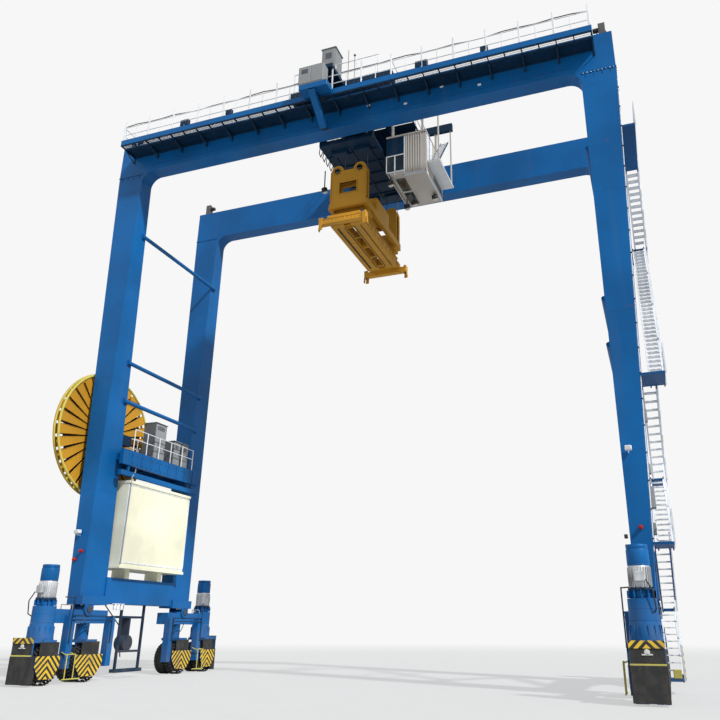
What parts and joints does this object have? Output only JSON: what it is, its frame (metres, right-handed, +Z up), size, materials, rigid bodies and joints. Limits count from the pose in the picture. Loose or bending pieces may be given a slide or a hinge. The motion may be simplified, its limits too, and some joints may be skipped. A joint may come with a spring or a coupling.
{
  "type": "rubber tyred gantry crane",
  "caption": "Portal crane on rubber tyred bogies, with a trolley, hanging cab, hoist and telescopic container spreader, cable reel and electrical house.",
  "frame": {"origin": "on the ground at the middle of the span and of the wheelbase", "axes": "+X across the span to the right, +Y along the travel of the crane to the rear, +Z up"},
  "size_m": [27.052, 12.9, 30.29],
  "materials": {
    "crane_blue": "satin paint",
    "dark_blue": "satin paint",
    "white_paint": "satin paint",
    "cream_paint": "satin paint",
    "grey_paint": "satin paint",
    "steel": "worn steel",
    "spreader_yellow": "satin paint",
    "tyre": "rubber",
    "glass": "tinted glass"
  },
  "bodies": {
    "portal": {"front_girder": "crane_blue", "rear_girder": "crane_blue", "front_left_leg": "crane_blue", "front_right_leg": "crane_blue", "rear_left_leg": "crane_blue", "rear_right_leg": "crane_blue", "left_sill_beam": "crane_blue", "right_sill_beam": "crane_blue", "side_ties": "crane_blue", "trolley_rails": "steel", "front_walkway": "dark_blue", "rear_walkway": "dark_blue", "walkway_railings": "white_paint", "stair_treads": "white_paint", "stair_frame": "dark_blue", "stair_railings": "white_paint", "electrical_house": "cream_paint", "equipment_platform": "crane_blue", "platform_railing": "white_paint", "control_cabinets": "grey_paint", "reel_bracket": "dark_blue", "cable_guide": "dark_blue"},
    "front_left_bogie": {"front_left_bogie": "crane_blue"},
    "front_left_drive_fork": {"front_left_drive_fork": "crane_blue"},
    "front_left_drive_wheel": {"front_left_drive_wheel": "tyre"},
    "front_left_idle_fork": {"front_left_idle_fork": "crane_blue"},
    "front_left_idle_wheel": {"front_left_idle_wheel": "tyre"},
    "front_right_bogie": {"front_right_bogie": "crane_blue"},
    "front_right_drive_fork": {"front_right_drive_fork": "crane_blue"},
    "front_right_drive_wheel": {"front_right_drive_wheel": "tyre"},
    "front_right_idle_fork": {"front_right_idle_fork": "crane_blue"},
    "front_right_idle_wheel": {"front_right_idle_wheel": "tyre"},
    "rear_left_bogie": {"rear_left_bogie": "crane_blue"},
    "rear_left_drive_fork": {"rear_left_drive_fork": "crane_blue"},
    "rear_left_drive_wheel": {"rear_left_drive_wheel": "tyre"},
    "rear_left_idle_fork": {"rear_left_idle_fork": "crane_blue"},
    "rear_left_idle_wheel": {"rear_left_idle_wheel": "tyre"},
    "rear_right_bogie": {"rear_right_bogie": "crane_blue"},
    "rear_right_drive_fork": {"rear_right_drive_fork": "crane_blue"},
    "rear_right_drive_wheel": {"rear_right_drive_wheel": "tyre"},
    "rear_right_idle_fork": {"rear_right_idle_fork": "crane_blue"},
    "rear_right_idle_wheel": {"rear_right_idle_wheel": "tyre"},
    "trolley": {"trolley_frame": "dark_blue", "trolley_wheels": "steel", "hoist_machinery": "steel", "trolley_cabinets": "grey_paint", "operator_cab": "cream_paint", "cab_windows": "glass", "cab_stair": "dark_blue"},
    "lift": {"hoist_ropes": "steel", "headblock": "spreader_yellow", "spreader_frame": "spreader_yellow"},
    "front_spreader_beam": {"front_spreader_beam": "spreader_yellow"},
    "rear_spreader_beam": {"rear_spreader_beam": "spreader_yellow"},
    "cable_reel": {"cable_reel": "spreader_yellow"}
  },
  "joints": [
    {"name": "front_left_bogie_rock", "type": "hinge", "parent": "portal", "child": "front_left_bogie", "pos_m": [-11.735, -3.5, 2.93], "axis": [1, 0, 0], "range_deg": [-3, 3]},
    {"name": "front_left_drive_steer", "type": "hinge", "parent": "front_left_bogie", "child": "front_left_drive_fork", "pos_m": [-11.735, -5.62, 2.2], "axis": [0, 0, -1], "range_deg": [0, 90]},
    {"name": "front_left_drive_roll", "type": "hinge", "parent": "front_left_drive_fork", "child": "front_left_drive_wheel", "pos_m": [-11.735, -5.62, 0.745], "axis": [-1, 0, 0], "continuous": true},
    {"name": "front_left_idle_steer", "type": "hinge", "parent": "front_left_bogie", "child": "front_left_idle_fork", "pos_m": [-11.735, -3.3, 2.2], "axis": [0, 0, -1], "range_deg": [0, 90]},
    {"name": "front_left_idle_roll", "type": "hinge", "parent": "front_left_idle_fork", "child": "front_left_idle_wheel", "pos_m": [-11.735, -3.3, 0.745], "axis": [-1, 0, 0], "continuous": true},
    {"name": "front_right_bogie_rock", "type": "hinge", "parent": "portal", "child": "front_right_bogie", "pos_m": [11.735, -3.5, 2.93], "axis": [1, 0, 0], "range_deg": [-3, 3]},
    {"name": "front_right_drive_steer", "type": "hinge", "parent": "front_right_bogie", "child": "front_right_drive_fork", "pos_m": [11.735, -5.62, 2.2], "axis": [0, 0, 1], "range_deg": [0, 90]},
    {"name": "front_right_drive_roll", "type": "hinge", "parent": "front_right_drive_fork", "child": "front_right_drive_wheel", "pos_m": [11.735, -5.62, 0.745], "axis": [-1, 0, 0], "continuous": true},
    {"name": "front_right_idle_steer", "type": "hinge", "parent": "front_right_bogie", "child": "front_right_idle_fork", "pos_m": [11.735, -3.3, 2.2], "axis": [0, 0, 1], "range_deg": [0, 90]},
    {"name": "front_right_idle_roll", "type": "hinge", "parent": "front_right_idle_fork", "child": "front_right_idle_wheel", "pos_m": [11.735, -3.3, 0.745], "axis": [-1, 0, 0], "continuous": true},
    {"name": "rear_left_bogie_rock", "type": "hinge", "parent": "portal", "child": "rear_left_bogie", "pos_m": [-11.735, 3.5, 2.93], "axis": [1, 0, 0], "range_deg": [-3, 3]},
    {"name": "rear_left_drive_steer", "type": "hinge", "parent": "rear_left_bogie", "child": "rear_left_drive_fork", "pos_m": [-11.735, 5.62, 2.2], "axis": [0, 0, 1], "range_deg": [0, 90]},
    {"name": "rear_left_drive_roll", "type": "hinge", "parent": "rear_left_drive_fork", "child": "rear_left_drive_wheel", "pos_m": [-11.735, 5.62, 0.745], "axis": [-1, 0, 0], "continuous": true},
    {"name": "rear_left_idle_steer", "type": "hinge", "parent": "rear_left_bogie", "child": "rear_left_idle_fork", "pos_m": [-11.735, 3.3, 2.2], "axis": [0, 0, 1], "range_deg": [0, 90]},
    {"name": "rear_left_idle_roll", "type": "hinge", "parent": "rear_left_idle_fork", "child": "rear_left_idle_wheel", "pos_m": [-11.735, 3.3, 0.745], "axis": [-1, 0, 0], "continuous": true},
    {"name": "rear_right_bogie_rock", "type": "hinge", "parent": "portal", "child": "rear_right_bogie", "pos_m": [11.735, 3.5, 2.93], "axis": [1, 0, 0], "range_deg": [-3, 3]},
    {"name": "rear_right_drive_steer", "type": "hinge", "parent": "rear_right_bogie", "child": "rear_right_drive_fork", "pos_m": [11.735, 5.62, 2.2], "axis": [0, 0, -1], "range_deg": [0, 90]},
    {"name": "rear_right_drive_roll", "type": "hinge", "parent": "rear_right_drive_fork", "child": "rear_right_drive_wheel", "pos_m": [11.735, 5.62, 0.745], "axis": [-1, 0, 0], "continuous": true},
    {"name": "rear_right_idle_steer", "type": "hinge", "parent": "rear_right_bogie", "child": "rear_right_idle_fork", "pos_m": [11.735, 3.3, 2.2], "axis": [0, 0, -1], "range_deg": [0, 90]},
    {"name": "rear_right_idle_roll", "type": "hinge", "parent": "rear_right_idle_fork", "child": "rear_right_idle_wheel", "pos_m": [11.735, 3.3, 0.745], "axis": [-1, 0, 0], "continuous": true},
    {"name": "trolley_travel", "type": "slide", "parent": "portal", "child": "trolley", "axis": [1, 0, 0], "range_m": [-8.3, 6.6]},
    {"name": "hoist", "type": "slide", "parent": "trolley", "child": "lift", "axis": [0, 0, -1], "range_m": [0, 18], "deforming": ["hoist_ropes"]},
    {"name": "front_telescope", "type": "slide", "parent": "lift", "child": "front_spreader_beam", "axis": [0, -1, 0], "range_m": [0, 3.066]},
    {"name": "rear_telescope", "type": "slide", "parent": "lift", "child": "rear_spreader_beam", "axis": [0, 1, 0], "range_m": [0, 3.066]},
    {"name": "cable_reel_turn", "type": "hinge", "parent": "portal", "child": "cable_reel", "pos_m": [-12.85, -2.5, 11], "axis": [1, 0, 0], "continuous": true}
  ],
  "couplings": [
    {"joint": "rear_telescope", "follows": "front_telescope", "ratio": 1}
  ]
}
